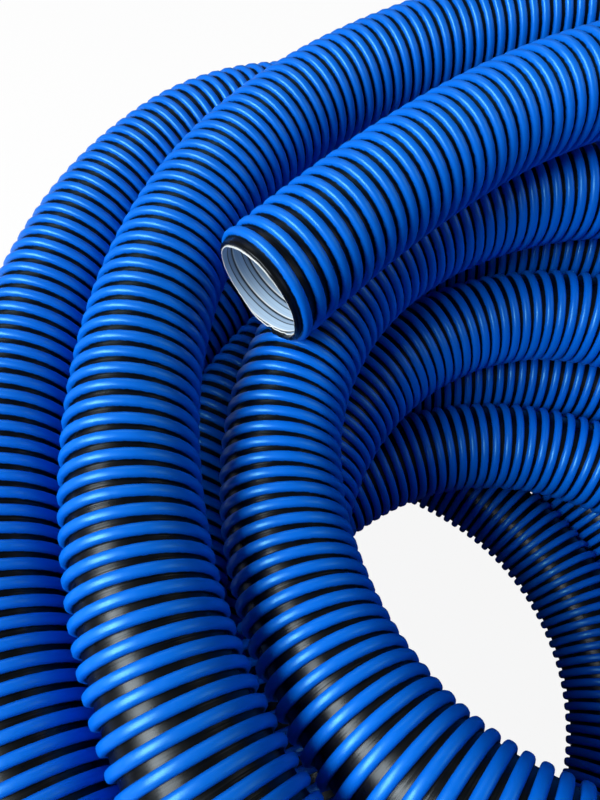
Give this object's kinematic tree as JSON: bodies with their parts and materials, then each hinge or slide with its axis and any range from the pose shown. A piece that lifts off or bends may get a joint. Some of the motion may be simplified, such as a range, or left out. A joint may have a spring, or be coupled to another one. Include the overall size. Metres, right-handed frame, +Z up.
{
  "type": "vacuum hose",
  "caption": "Long ribbed swimming-pool vacuum hose lying in a loose coil, with a raised blue wear rib on a black wall and a pale liner at its bare cut end.",
  "frame": {"origin": "on the floor, under the centre of the coil's outline", "axes": "+Z up, as the coil lies on the floor; +X to the right and +Y away from the picture's viewer"},
  "size_m": [0.7872, 0.7852, 0.2732],
  "materials": {
    "liner": "satin",
    "wall": "gloss",
    "wear_rib": "gloss"
  },
  "bodies": {
    "root": {"coil_liner": "liner", "coil_wall": "wall", "coil_wear_rib": "wear_rib", "last_loop_liner": "liner", "last_loop_wall": "wall", "last_loop_wear_rib": "wear_rib"}
  },
  "joints": []
}
